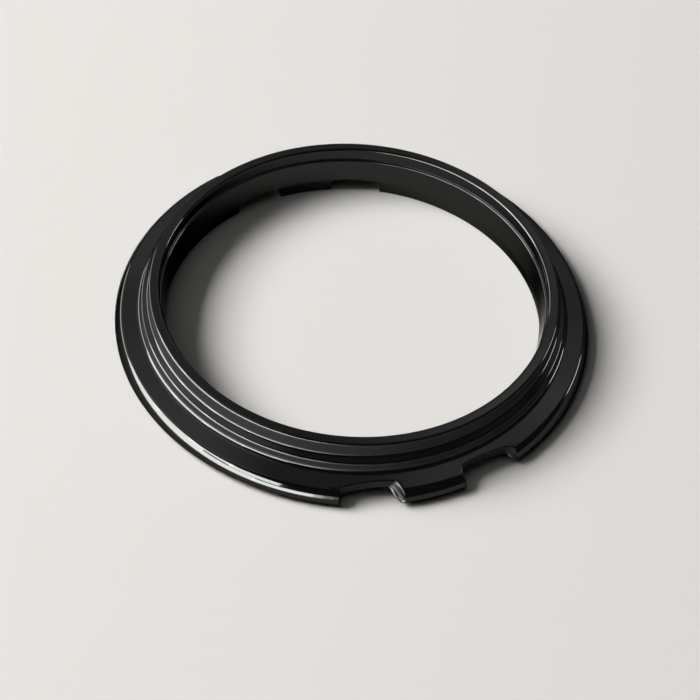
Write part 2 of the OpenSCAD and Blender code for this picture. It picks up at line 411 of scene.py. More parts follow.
@dataclass
class RimRows:
    """The part of the profile that the rim notches cut away, from under the brim round to its top.

    Its first and last few rows are gates: they lie at the notch's wall, where the rounding of the
    notch's edges turns the corner between its ends and its wall. The leads are how far inwards of
    the rim's foot and of the brim's edge its fixed outline starts, and the shares are how far the
    rows between that and the gates lie from the gates.
    """

    ring: BezelRing
    foot_lead: float = 0.12
    brim_lead: float = 0.30
    gap: float = 0.3
    under_shares: Span = (0.25, 0.6)
    brim_shares: Span = (0.6, 0.25)
    usual_gate_r: float = 19.8
    wall_margin: float = 0.04
    past_root: float = 1.2
    root_angle: float = 0.02
    slope_angle: float = 1e-4

    def __post_init__(self) -> None:
        """Lays out the rows: gates, underside, fixed outline, brim and gates again."""
        ring = self.ring
        foot_r, brim_r = ring.rim_foot_r - self.foot_lead, ring.brim_out_r - self.brim_lead
        self.fixed = turned_line(
            [
                (foot_r, ring.under_z(foot_r), 0),
                (ring.rim_foot_r, ring.rim_lift, ring.edge_r),
                (ring.rim_r, ring.rim_lift, ring.edge_r),
                (ring.rim_r, ring.rim_lift + ring.rim_band_h, ring.rim_round_r),
                (ring.rim_r - ring.belly_in, ring.rim_lift + ring.belly_up, ring.belly_r),
                (ring.brim_out_r, ring.brim_out_z, ring.brim_edge_r),
                (brim_r, ring.top_z(brim_r), 0),
            ],
            ring.support,
            self.gap,
        )
        n, under, brim = ring.levels, np.array(self.under_shares), np.array(self.brim_shares)
        self.counts = (n + 1, len(under), len(self.fixed), len(brim), n + 1)
        self.fixed_rows = slice(sum(self.counts[:2]), sum(self.counts[:3]))
        gate = np.arange(n + 1)
        reach = n * ring.gate_step
        self.level = self.per_row(gate, n, n, n, gate[::-1])
        self.by_low = self.per_row(1, 1 - under, 0, 0, 0)
        self.by_top = self.per_row(0, 0, 0, 1 - brim, 1)
        self.base = self.per_row(
            gate * ring.gate_step,
            reach * (1 - under) + foot_r * under,
            self.fixed[:, 0],
            reach * (1 - brim) + brim_r * brim,
            gate[::-1] * ring.gate_step,
        )
        self.is_gate = self.per_row(True, False, False, False, True)
        self.is_under = self.per_row(True, True, False, False, False)
        self.is_top = self.per_row(False, False, False, True, True)
        before, after = self.fixed_rows.start, sum(self.counts[3:])
        self.normals = np.pad(inward_normals(self.fixed), ((before, after), (0, 0)), mode="edge")
        usual = self.contour(self.usual_gate_r, self.usual_gate_r)[0]
        share = length_share(usual)
        first, last = share[~self.is_gate][[0, -1]]
        height = self.wall_margin + (1 - 2 * self.wall_margin) * (share - first) / (last - first)
        self.height_share = np.where(self.is_gate, self.is_top, height)
        up_band = np.interp(usual[:, 1], [ring.rim_lift, ring.rim_lift + ring.rim_band_h], [0, 1])
        self.edge_share = np.where(self.is_under, 0, np.where(self.is_top, 1, up_band))

    def per_row(self, *parts: Values) -> np.ndarray:
        """Gives each row a value, from those of the low gates, underside, outline, brim and top gates."""
        return np.concatenate([np.broadcast_to(part, count) for part, count in zip(parts, self.counts)])

    def contour(self, low_gate: Values, top_gate: Values) -> np.ndarray:
        """Full outline with its gates at the given radii, as stations by rows by radius and height."""
        ring = self.ring
        low, top = np.atleast_1d(low_gate)[:, None], np.atleast_1d(top_gate)[:, None]
        r = self.base + self.by_low * low + self.by_top * top
        z = np.where(self.is_under, ring.under_z(r), np.where(self.is_top, ring.top_z(r), 0))
        z[:, self.fixed_rows] = self.fixed[:, 1]
        return np.stack([r, z], axis=-1)

    def stand_in(self, end: NotchEnd, r: Values, share: Values) -> Values:
        """How far an end stands into its notch: root times a power of the way in from the rim, plus tip.

        Args:
            end: The notch's end.
            r: Radius of each point.
            share: 0 at the lower edge of the end and 1 at its upper edge.

        Returns:
            Millimetres at the reference radius, positive into the notch.
        """
        way = np.clip((self.ring.rim_r - r) / (self.ring.rim_r - self.root_r(end)), 0, self.past_root)
        low = end.low_tip + (end.low_root - end.low_tip) * way**end.low_power
        top = end.top_tip + (end.top_root - end.top_tip) * way**end.top_power
        return low * (1 - share) + top * share

    def root_r(self, end: NotchEnd) -> float:
        """Radius of the notch's wall beside an end."""
        return float(self.ring.wall_r(math.radians(end.angle) + end.inward * self.root_angle))

    def root(self, end: NotchEnd, share: Values) -> tuple[Values, Values, Values, Values]:
        """Where the wall starts beside an end, past the arc of the inner corner.

        The arc touches the end, which runs out from the axis, and the wall, whose slope is dr/de.

        Args:
            end: The notch's end.
            share: 0 at the lower edge and 1 at the upper one.

        Returns:
            The wall's first angle, its radius there, the radius where the arc leaves the end, and
            the angle that the arc turns through.
        """
        ring, rho, step = self.ring, self.ring.rim_notch_corner_r, self.slope_angle
        foot = self.stand_in(end, self.root_r(end), share)
        psi = math.radians(end.angle) + end.inward * (foot + rho) / REFERENCE_R
        slope = end.inward * (ring.wall_r(psi + step) - ring.wall_r(psi - step)) / (2 * step) / REFERENCE_R
        half = np.arccos(slope / np.hypot(1, slope)) / 2
        reach = rho / np.tan(half)
        along = reach / np.hypot(1, slope)
        wall_psi = math.radians(end.angle) + end.inward * (foot + along) / REFERENCE_R
        wall = ring.wall_r(wall_psi)
        return wall_psi, wall, wall - slope * along + reach, np.arctan2(1, -slope)

    def full(self, psi: np.ndarray, ends: tuple[NotchEnd, NotchEnd]) -> np.ndarray:
        """Full outline at each angle, its points drawn towards the line of an end that is near.

        Args:
            psi: Angles from the tab's centre line.
            ends: The notch's end beside the tab and its far end.

        Returns:
            Stations by rows by radius, angle and height.
        """
        ring = self.ring
        near = []
        for end in ends:
            start = math.radians(end.angle) - end.inward * ring.notch_edge_r / REFERENCE_R
            distance = end.inward * (start - psi) * REFERENCE_R
            near.append(np.where(distance < -HAIR, 0, 1 - ease(distance / ring.fade_length)))
        low, top = ring.open_gate_r, ring.open_gate_r
        for end, weight in zip(ends, near):
            low = low + weight * (self.root(end, 0.0)[2] - ring.open_gate_r)
            top = top + weight * (self.root(end, 1.0)[2] - ring.open_gate_r)
        line = self.contour(low, top)
        angle = np.repeat(psi[:, None], len(self.level), axis=1)
        for end, weight in zip(ends, near):
            drawn = self.stand_in(end, line[..., 0], self.edge_share)
            angle = angle + weight[:, None] * end.inward * drawn / REFERENCE_R
        return np.stack([line[..., 0], angle, line[..., 1]], axis=-1)

    def gate_height(self, r: np.ndarray, drop: np.ndarray) -> np.ndarray:
        """Height of gate rows: the upper face less a drop, or the underside plus it."""
        return np.where(self.is_top, self.ring.top_z(r) - drop, self.ring.under_z(r) + drop)

    def beside(self, end: NotchEnd, r: np.ndarray, forward: np.ndarray, z: np.ndarray) -> np.ndarray:
        """Points at distances forward into the notch from an end's angle, as radius, angle and height."""
        return np.stack([r, math.radians(end.angle) + end.inward * forward / REFERENCE_R, z], axis=-1)

    def end_columns(self, end: NotchEnd, shares: np.ndarray) -> np.ndarray:
        """Stations that round the edge of an end and then cross its face to the wall.

        The first stations go round the edge: the outline is drawn in by rho (1 - cos a) while it
        comes forward by rho (sin a - 1). The rest slide from that outline to the wall's line, and
        within the inner corner they follow its arc.

        Args:
            end: The notch's end.
            shares: How far each later station has gone from the outline to the wall.

        Returns:
            Stations by rows by radius, angle and height, from the outline towards the wall.
        """
        ring, n, rho = self.ring, self.ring.levels, self.ring.notch_edge_r
        corner, quarter = ring.rim_notch_corner_r, math.pi / 2 / n
        gate_share = self.is_top.astype(float)
        _, _, gates, turn = self.root(end, gate_share)
        outline = self.contour(gates[0], gates[-1])[0]

        stage = np.arange(n + 1)[:, None]
        drop, back = rounding(rho, np.minimum(stage, self.level) * quarter)
        bend = np.maximum(stage - self.level, 0) * ring.gate_step / corner
        on_line = gates + np.maximum(self.level - stage, 0) * ring.gate_step
        gate_r = on_line - (corner + back) * np.sin(bend)
        drawn_in = outline + drop[..., None] * self.normals
        r = np.where(self.is_gate, gate_r, drawn_in[..., 0])
        z = np.where(self.is_gate, self.gate_height(gate_r, drop), drawn_in[..., 1])
        forward = np.where(self.is_gate, corner - (corner + back) * np.cos(bend), -back)
        edge = self.beside(end, r, forward + self.stand_in(end, r, self.edge_share), z)

        share = shares[:, None]
        drop, back = rounding(rho, self.level * quarter)
        bend = np.arcsin(share * np.sin(turn)) + (n - self.level) * ring.gate_step / corner * (1 - share)
        gate_r = gates - (corner + back) * np.sin(bend)
        gate_forward = corner - (corner + back) * np.cos(bend)
        inner = outline + rho * self.normals
        wall = self.root(end, self.height_share)[1]
        low, top = ring.under_z(wall) + rho, ring.top_z(wall) - rho
        wall_z = low + self.height_share * (top - low)
        face_r = (1 - share) * inner[:, 0] + share * wall
        face_z = (1 - share) * inner[:, 1] + share * wall_z
        face_share = (1 - share) * self.edge_share + share * self.height_share
        _, _, leave, sweep = self.root(end, face_share)
        inside = np.clip(leave - face_r, 0, corner * np.sin(sweep))
        arc = corner - np.sqrt(corner**2 - inside**2)
        r = np.where(self.is_gate, gate_r, face_r)
        z = np.where(self.is_gate, self.gate_height(gate_r, drop), face_z)
        lean = np.where(self.is_gate, gate_share, face_share)
        forward = self.stand_in(end, r, lean) + np.where(self.is_gate, gate_forward, arc)
        return np.concatenate([edge, self.beside(end, r, forward, z)])

    def wall(self, way: np.ndarray, ends: tuple[NotchEnd, NotchEnd]) -> np.ndarray:
        """Stations along the notch's upright wall, with its upper and lower edges rounded.

        Args:
            way: How far along the wall each station is, from the tab's end to the far one.
            ends: The notch's end beside the tab and its far end.

        Returns:
            Stations by rows by radius, angle and height.
        """
        ring, rho = self.ring, self.ring.notch_edge_r
        drop, back = rounding(rho, self.level * math.pi / 2 / ring.levels)
        start, stop = (self.root(end, self.height_share)[0] for end in ends)
        psi = start + way[:, None] * (stop - start)
        wall = ring.wall_r(psi)
        low, top = ring.under_z(wall) + rho, ring.top_z(wall) - rho
        r = wall - np.where(self.is_gate, back, 0)
        upright = low + self.height_share * (top - low)
        z = np.where(self.is_gate, self.gate_height(r, drop), upright)
        return np.stack([r, psi, z], axis=-1)


@dataclass
class SkirtRows:
    """The part of the profile that the skirt notches cut away, from the throat round to the groove."""

    ring: BezelRing
    roof_steps: tuple[float, ...] = (0.0, 0.0076, 0.03)
    bevel_steps: tuple[float, ...] = (0.0, 0.03, 0.11)
    roof_blend: float = 0.3
    edge_turns: tuple[float, ...] = (0.0, 0.5, 1.0)

    def __post_init__(self) -> None:
        """Lays out the rows down the inside of the skirt, round its foot and up its outside."""
        ring = self.ring
        down = ring.roof_z - np.array(self.roof_steps)
        throat = np.stack([ring.throat_at(down), down], axis=1)
        steps = np.array(self.bevel_steps)
        bevel = np.stack([ring.throat_r + steps, ring.throat_lift - steps], axis=1)
        low = turned_line(
            [
                (ring.skirt_in_r, ring.throat_lift - (ring.skirt_in_r - ring.throat_r), 0),
                (ring.skirt_in_r, 0, ring.edge_r),
                (ring.skirt_out_r, 0, ring.edge_r),
                (ring.skirt_out_r, ring.under_in_z, ring.edge_r),
                (ring.groove_in_r, ring.inner_under_z(ring.groove_in_r), 0),
                (ring.groove_in_r, ring.roof_z, 0),
            ],
            ring.support,
            ring.gap,
        )
        self.line = np.concatenate([throat, bevel, low])
        share = length_share(self.line)
        roof_r = self.line[0, 0] + share * (self.line[-1, 0] - self.line[0, 0])
        self.roof = np.stack([roof_r, np.full(len(share), ring.roof_z)], axis=1)
        self.weight = np.clip((ring.roof_z - self.line[:, 1]) / self.roof_blend, 0, 1)
        self.normals = inward_normals(self.line)
        self.reference = math.asin(ring.half_w / (ring.skirt_in_r + ring.skirt_wall / 2))

    def side(self, r: np.ndarray, z: np.ndarray, hand: int) -> np.ndarray:
        """Angle of a notch's side, which stands parallel to its middle and rounds over into its roof."""
        ring, rho = self.ring, self.ring.skirt_notch_corner_r
        over = np.clip(z - (ring.roof_z - rho), 0, rho)
        half = ring.half_w - rho + np.sqrt(rho**2 - over**2)
        return math.radians(ring.skirt_notch_pitch) + hand * np.arcsin(half / r)

    def full(self, psi: np.ndarray) -> np.ndarray:
        """Full outline at each angle, its points drawn towards a notch's side that is near."""
        ring = self.ring
        angle = np.repeat(psi[:, None], len(self.line), axis=1)
        for hand in (-1, 1):
            edge = math.radians(ring.skirt_notch_pitch) + hand * self.reference
            distance = hand * (psi - edge) * REFERENCE_R
            weight = np.where(distance < -HAIR, 0, 1 - ease(distance / ring.fade_length))
            angle = angle + weight[:, None] * (self.side(self.line[:, 0], self.line[:, 1], hand) - edge)
        line = np.broadcast_to(self.line, angle.shape + (2,))
        return np.stack([line[..., 0], angle, line[..., 1]], axis=-1)

    def side_columns(self, hand: int, shares: np.ndarray) -> np.ndarray:
        """Stations that round the edge of a side and then cross its face up to the roof.

        Args:
            hand: -1 for the side beside the tab, 1 for the far side.
            shares: How far each later station has gone from the outline to the roof's line.

        Returns:
            Stations by rows by radius, angle and height, from the outline towards the roof.
        """
        turn = (np.array(self.edge_turns) * math.pi / 2)[:, None]
        drop, back = (part * self.weight for part in rounding(self.ring.edge_r, turn))
        outline = self.line + drop[..., None] * self.normals
        r, z = outline[..., 0], outline[..., 1]
        edge = np.stack([r, self.side(r, z, hand) + hand * back / REFERENCE_R, z], axis=-1)
        share = shares[:, None, None]
        face = (1 - share) * outline[-1] + share * self.roof
        angle = self.side(face[..., 0], face[..., 1], hand)
        return np.concatenate([edge, np.stack([face[..., 0], angle, face[..., 1]], axis=-1)])

    def under_roof(self, across: np.ndarray) -> np.ndarray:
        """Stations along the notch's flat roof, at distances from its middle."""
        ring = self.ring
        r = np.broadcast_to(self.roof[:, 0], (len(across), len(self.roof)))
        angle = math.radians(ring.skirt_notch_pitch) + np.arcsin(across[:, None] / r)
        return np.stack([r, angle, np.full(r.shape, ring.roof_z)], axis=-1)


@dataclass(frozen=True)
class StationPlan:
    """Where the stations past one side of a tab go, in degrees from the tab's centre line.

    Each stretch has a span for the core's rows. Names that end in rim or skirt are spans of those
    rows, where they differ. The wall's spans are shares of its length, and the roof's are shares of
    its half-width, from its middle. Face and side shares are how far the stations that cross a
    milled face have gone over it. Top and low shares place the rows between the core and the rim's.
    """

    approach: Span = (2.4, 7.35)
    approach_skirt: Span = (2.4, 7.5)
    approach_run: float = 5.0
    approach_power: float = 1.5
    approach_count: int = 8
    tab_end: Span = (7.45, 8.3)
    tab_end_skirt: Span = (7.6, 8.15)
    near_side: Span = (8.4, 9.3)
    near_wall: Span = (0.0, 0.06)
    middle: Span = (10.0, 20.9)
    middle_wall: Span = (0.1, 0.96)
    middle_roof: Span = (-1.0, 0.9)
    middle_count: int = 14
    last: Span = (21.2, 21.3)
    last_wall: Span = (0.99, 1.0)
    last_roof: Span = (0.92, 0.94)
    last_count: int = 2
    far_end: Span = (21.4, 22.4)
    far_roof: Span = (0.945, 1.0)
    far_side: Span = (22.5, 23.5)
    far_side_rim: Span = (22.6, 23.5)
    leave: Span = (23.8, 28.6)
    leave_skirt: Span = (23.85, 28.6)
    leave_rim_start: float = 23.75
    leave_run: float = 4.9
    leave_power: float = 1.3
    leave_count: int = 7
    clear_of_notches: float = 60.0
    face_shares: tuple[float, ...] = (0.04, 0.3, 0.55, 0.75, 0.9, 0.97)
    side_shares: tuple[float, ...] = (0.06, 0.35, 0.66, 0.79, 0.9, 0.974, 0.995)
    top_shares: Span = (0.75, 0.35)
    low_shares: tuple[float, ...] = (0.5,)


@dataclass
class BezelSkin:
    """The ring's visible skin: its core, rim and skirt rows brought together into one closed grid."""

    ring: BezelRing
    sharp_angle: float = 40.0
    plan: StationPlan = field(default_factory=StationPlan)
    rows: RimRows = field(init=False)
    skirt: SkirtRows = field(init=False)

    def __post_init__(self) -> None:
        """Makes the two sets of rows that notches cut."""
        self.rows = RimRows(self.ring)
        self.skirt = SkirtRows(self.ring)

    def assemble(
        self,
        core: np.ndarray,
        rim: np.ndarray,
        skirt: np.ndarray,
        rim_cut: Values = 0.0,
        skirt_cut: Values = 0.0,
    ) -> np.ndarray:
        """Joins the core's rows to the rim's and the skirt's at each station.

        Args:
            core: Angle of the core at each station.
            rim: The rim's rows, from under the brim to its top.
            skirt: The skirt's rows, from the throat to the seal's groove.
            rim_cut: 1 at each station where the rim's rows lie on a milled face, and 0 elsewhere.
            skirt_cut: The same for the skirt's rows.

        Returns:
            Stations by rows by radius, angle, height and how far the face is milled.
        """
        ring = self.ring
        steps, groove, under = ring.core_lines()

        def fixed(line: np.ndarray) -> np.ndarray:
            """Turns a profile to the core's angle at each station."""
            return np.stack(np.broadcast_arrays(line[:, 0], core[:, None], line[:, 1]), axis=-1)

        def between(gate: np.ndarray, start_r: float, shares: tuple, height: Callable) -> np.ndarray:
            """Lays rows between the core and a gate, as shares of the way from a radius to the gate."""
            share = np.array(shares)
            r = start_r + share * (gate[:, None, 0] - start_r)
            angle = core[:, None] + share * (gate[:, None, 1] - core[:, None])
            return np.stack([r, angle, height(r)], axis=-1)

        def masked(part: np.ndarray, cut: Values = 0.0) -> np.ndarray:
            """Adds how far each point is milled."""
            mask = np.broadcast_to(cut, part.shape[:2])
            return np.concatenate([part, mask[..., None]], axis=-1)

        rim_mask = np.broadcast_to(rim_cut, len(core))[:, None] * ~self.rows.is_gate
        skirt_mask = np.broadcast_to(skirt_cut, len(core))[:, None]
        parts = [
            masked(between(rim[:, -1], steps[0, 0], self.plan.top_shares, ring.top_z)),
            masked(fixed(steps)),
            masked(skirt, skirt_mask),
            masked(fixed(groove)),
            masked(fixed(under)),
            masked(between(rim[:, 0], ring.break_r, self.plan.low_shares, ring.under_z)),
            masked(rim, rim_mask),
        ]
        return np.concatenate(parts, axis=1)

    def notch_stations(self, ends: tuple[NotchEnd, NotchEnd]) -> np.ndarray:
        """Stations past one side of a tab: rim notch and skirt notch, from the tab outwards.

        Each block of stations takes one set of rows through one end while the others go on evenly.

        Args:
            ends: The rim notch's end beside the tab and its far end.

        Returns:
            Stations by rows by radius, angle, height and how far the face is milled.
        """
        rows, skirt, ring, plan = self.rows, self.skirt, self.ring, self.plan
        faces, sides = np.array(plan.face_shares), np.array(plan.side_shares)
        near, far = rows.end_columns(ends[0], faces), rows.end_columns(ends[1], faces)[::-1]
        near_side, far_side = skirt.side_columns(-1, sides), skirt.side_columns(1, sides)[::-1]
        face_cut = np.repeat([0.0, 1.0], [len(near) - len(faces), len(faces)])
        side_cut = np.repeat([0.0, 1.0], [len(near_side) - len(sides), len(sides)])

        def at(span: Span, count: int) -> np.ndarray:
            """Spaces angles over a span."""
            return np.radians(spaced(span, count))

        def wall(span: Span, count: int) -> np.ndarray:
            """Spaces stations over a stretch of the rim notch's wall."""
            return rows.wall(spaced(span, count), ends)

        def roof(span: Span, count: int) -> np.ndarray:
            """Spaces stations over a stretch of the skirt notch's roof."""
            return skirt.under_roof(spaced(span, count) * (ring.half_w - ring.skirt_notch_corner_r))

        def both(core: Span, wall_span: Span, roof_span: Span, count: int) -> np.ndarray:
            """Lays stations that lie in both notches."""
            return self.assemble(at(core, count), wall(wall_span, count), roof(roof_span, count), 1.0, 1.0)

        ahead, behind = plan.approach_count, plan.leave_count
        closing = spaced((1.0, 0.0), ahead) ** plan.approach_power
        opening = spaced((0.0, 1.0), behind + 1)[1:] ** plan.leave_power
        approach = rows.full(np.radians(plan.approach[1] - plan.approach_run * closing), ends)
        leave = rows.full(np.radians(plan.leave_rim_start + plan.leave_run * opening), ends)
        beside_end = skirt.full(at(plan.tab_end_skirt, len(near)))
        beside_side = rows.full(at(plan.far_side_rim, len(far_side)), ends)
        near_wall = wall(plan.near_wall, len(near_side))
        far_roof = roof(plan.far_roof, len(far))
        blocks = [
            self.assemble(at(plan.approach, ahead), approach, skirt.full(at(plan.approach_skirt, ahead))),
            self.assemble(at(plan.tab_end, len(near)), near, beside_end, face_cut),
            self.assemble(at(plan.near_side, len(near_side)), near_wall, near_side, 1.0, side_cut),
            both(plan.middle, plan.middle_wall, plan.middle_roof, plan.middle_count),
            both(plan.last, plan.last_wall, plan.last_roof, plan.last_count),
            self.assemble(at(plan.far_end, len(far)), far, far_roof, face_cut[::-1], 1.0),
            self.assemble(at(plan.far_side, len(far_side)), beside_side, far_side, 0.0, side_cut[::-1]),
            self.assemble(at(plan.leave, behind), leave, skirt.full(at(plan.leave_skirt, behind))),
        ]
        return np.concatenate(blocks)

    def plain_stations(self, psi: np.ndarray) -> np.ndarray:
        """Stations away from the notches, where the whole profile is simply turned."""
        return self.assemble(psi, self.rows.full(psi, (TAB_LEFT, FAR_LEFT)), self.skirt.full(psi))

    def points(self) -> np.ndarray:
        """Works out the whole grid: notches beside each tab and plain stretches between them.

        Returns:
            Stations by rows by place and how far the face is milled.
        """
        plan = self.plan
        tabs = np.radians([-90.0, 90.0 - self.ring.tab_key_angle])
        half, last = plan.approach[0], math.radians(plan.leave[1])
        clear = math.radians(plan.clear_of_notches)
        blocks = []
        for here, after in ((tabs[0], tabs[1]), (tabs[1], tabs[0] + 2 * math.pi)):
            left = self.notch_stations((TAB_LEFT, FAR_LEFT))[::-1] * (1, -1, 1, 1)
            right = self.notch_stations((TAB_RIGHT, FAR_RIGHT))
            across = self.plain_stations(np.radians(spaced((-half, half), plan.approach_count)[1:-1]))
            span = after - here - 2 * last
            count = round(math.degrees(span) / self.ring.station_pitch)
            onward = self.plain_stations(np.full(count - 1, clear))
            onward[..., 1] += (last + span * np.arange(1, count) / count)[:, None] - clear
            for block in (left, across, right, onward):
                blocks.append(block + (0, here, 0, 0))
        r, angle, z, milled = np.moveaxis(np.concatenate(blocks), -1, 0)
        return np.stack([r * np.cos(angle), r * np.sin(angle), z, milled], axis=-1)

    def build(self) -> bpy.types.Object:
        """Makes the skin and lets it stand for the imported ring."""
        points = self.points()
        piece = closed_grid("bezel_ring_skin", points[..., :3])
        milled = piece.data.attributes.new(MILLED, "FLOAT", "POINT")
        milled.data.foreach_set("value", points[..., 3].ravel())
        piece.data.set_sharp_from_angle(angle=math.radians(self.sharp_angle))
        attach(piece, "root")
        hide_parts("bezel_ring")
        return piece


@dataclass
class CaseSeal:
    """The rubber ring in the groove under the brim."""

    ring: BezelRing
    around: int = 240
    across: int = 28
    flash_mm: float = 0.02
    flash_spread: float = 0.06

    def build(self) -> bpy.types.Object:
        """Makes the seal: a circle carried round the axis, with the thin flash of its mould's two halves.

        The flash is a small ridge on the circle, a Gaussian of its height at the inner and outer side.
        """
        turn = np.linspace(0, 2 * math.pi, self.around, endpoint=False)[:, None]
        spin = np.linspace(0, 2 * math.pi, self.across, endpoint=False)
        ridge = np.exp(-((np.sin(spin) / self.flash_spread) ** 2))
        radius = self.ring.seal_cord_d / 2 + self.flash_mm * (ridge - 1)
        r = self.ring.seal_r + radius * np.cos(spin)
        z = self.ring.seal_z + radius * np.sin(spin)
        places = np.broadcast_arrays(r * np.cos(turn), r * np.sin(turn), z)
        piece = closed_grid("case_seal_cord", np.stack(places, axis=-1))
        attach(piece, "root")
        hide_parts("case_seal")
        return piece


class Tone(Enum):
    """The colours of the object and its stage, as they look under plain light."""

    COATING = "#303130"
    RUBBER = "#151516"
    FLOOR = "#f2efeb"
    DAYLIGHT = "#ffffff"


def add(tree: bpy.types.NodeTree, kind: str, inputs: dict | None = None, **settings) -> bpy.types.Node:
    """Adds a node with its settings and links.

    Args:
        tree: The node tree to add it to.
        kind: The node's type, without the first words that all types share.
        inputs: For each socket its value, a socket to link to it, or a node whose first output is linked.
        settings: The node's own properties.

    Returns:
        The new node.
    """
    made = tree.nodes.new("ShaderNode" + kind)
    for name, value in settings.items():
        setattr(made, name, value)
    for socket, value in (inputs or {}).items():
        source = value.outputs[0] if isinstance(value, bpy.types.Node) else value
        if isinstance(source, bpy.types.NodeSocket):
            tree.links.new(source, made.inputs[socket])
        else:
            made.inputs[socket].default_value = source
    return made


def empty_material(name: str) -> bpy.types.Material:
    """Returns a new material whose node tree is empty."""
    material = bpy.data.materials.new(name)
    material.use_nodes = True
    material.node_tree.nodes.clear()
    return material


def grown(mm: float) -> float:
    """Scale of a noise pattern on Object coordinates, in metres, whose grains are mm across."""
    return 1 / (mm * MM)


@dataclass(frozen=True)
class CoatedSteel:
    """Turned and polished steel under a thin black vacuum coating.

    The coating gives the eye a deep glossy black: a dark metal that mirrors the room weakly. The
    lathe tool's feed leaves rings round the axis, faint on the polished flats and clearer on the
    duller risers, where they soften the reflections into streaks. The milled notches are duller
    too, with the cutter's fine upright marks, and handling leaves faint smears in the gloss. The
    rings and the marks are drawn a few times coarser than real ones, which wouldn't show.
    """

    roughness: float = 0.08
    smear_roughness: float = 0.02
    smear_mm: float = 3.0
    smear_detail: float = 4.0
    smear_levels: Span = (0.3, 0.7)
    riser_roughness: float = 0.46
    riser_tilts: Span = (0.60, 0.25)
    risers_in_mm: float = 17.5
    risers_out_mm: float = 19.4
    milled_roughness: float = 0.30
    ring_mm: float = 0.10
    flat_ring_depth_mm: float = 0.0002
    steep_ring_depth_mm: float = 0.0012
    mark_mm: float = 0.08
    mark_depth_mm: float = 0.004
    fine_detail: float = 2.0
    grazing_tint: tuple[float, float, float, float] = (0.38, 0.38, 0.38, 1.0)

    def riser_mask(
        self, tree: bpy.types.NodeTree, normal: bpy.types.NodeSocket, radius: bpy.types.NodeSocket
    ) -> bpy.types.Node:
        """Adds a mask of the risers.

        It goes from 0 to 1 as the upward part of the normal falls through riser_tilts. It is 0
        within risers_in_mm of the axis, where the bore is, and beyond risers_out_mm, on the brim.

        Args:
            tree: The material's node tree.
            normal: The surface's normal.
            radius: Distance from the axis, in metres.

        Returns:
            The node that holds the mask.
        """
        upright = add(tree, "SeparateXYZ", {0: normal}).outputs["Z"]
        tilt = add(tree, "Math", {0: upright}, operation="ABSOLUTE")
        start, stop = self.riser_tilts
        steep = add(tree, "MapRange", {"Value": tilt, "From Min": start, "From Max": stop})
        outside = add(tree, "Math", {0: radius, 1: self.risers_in_mm * MM}, operation="GREATER_THAN")
        inside = add(tree, "Math", {0: radius, 1: self.risers_out_mm * MM}, operation="LESS_THAN")
        between = add(tree, "Math", {0: outside, 1: inside}, operation="MULTIPLY")
        return add(tree, "Math", {0: steep, 1: between}, operation="MULTIPLY")

    def make(self) -> bpy.types.Material:
        """Builds the material: gloss and bump from the tool's rings, the milled faces and smears."""
        material = empty_material("black vacuum-coated polished steel")
        tree = material.node_tree
        source = add(tree, "TexCoord")
        place = source.outputs["Object"]
        apart = add(tree, "SeparateXYZ", {0: place})
        flat = add(tree, "CombineXYZ", {"X": apart.outputs["X"], "Y": apart.outputs["Y"]})
        radius = add(tree, "VectorMath", {0: flat}, operation="LENGTH").outputs["Value"]
        steep = self.riser_mask(tree, source.outputs["Normal"], radius)
        milled = add(tree, "Attribute", attribute_name=MILLED).outputs["Fac"]

        turned = add(tree, "CombineXYZ", {"X": radius, "Y": apart.outputs["Z"]})
        ring_grain = {"Vector": turned, "Scale": grown(self.ring_mm), "Detail": self.fine_detail}
        rings = add(tree, "TexNoise", ring_grain)
        depths = {"To Min": self.flat_ring_depth_mm, "To Max": self.steep_ring_depth_mm}
        depth = add(tree, "MapRange", {"Value": steep, **depths})
        ring_height = add(tree, "Math", {0: rings, 1: depth}, operation="MULTIPLY")
        mark_grain = {"Vector": flat, "Scale": grown(self.mark_mm), "Detail": self.fine_detail}
        marks = add(tree, "TexNoise", mark_grain)
        mark_depth = add(tree, "Math", {0: milled, 1: self.mark_depth_mm}, operation="MULTIPLY")
        mark_height = add(tree, "Math", {0: marks, 1: mark_depth}, operation="MULTIPLY")
        height = add(tree, "Math", {0: ring_height, 1: mark_height}, operation="ADD")
        bump = add(tree, "Bump", {"Height": height, "Strength": 1.0, "Distance": MM})

        smear_grain = {"Vector": place, "Scale": grown(self.smear_mm), "Detail": self.smear_detail}
        smears = add(tree, "TexNoise", smear_grain)
        spread = {
            "Value": smears,
            "From Min": self.smear_levels[0],
            "From Max": self.smear_levels[1],
            "To Min": self.roughness - self.smear_roughness,
            "To Max": self.roughness + self.smear_roughness,
        }
        gloss = add(tree, "MapRange", spread)
        for mask, duller in ((steep, self.riser_roughness), (milled, self.milled_roughness)):
            more = add(tree, "Math", {0: mask, 1: duller}, operation="MULTIPLY")
            gloss = add(tree, "Math", {0: gloss, 1: more}, operation="ADD")
        look = {
            "Base Color": linear(Tone.COATING.value),
            "Metallic": 1.0,
            "Specular Tint": self.grazing_tint,
            "Roughness": gloss,
            "Normal": bump,
        }
        add(tree, "OutputMaterial", {"Surface": add(tree, "BsdfPrincipled", look)})
        return material


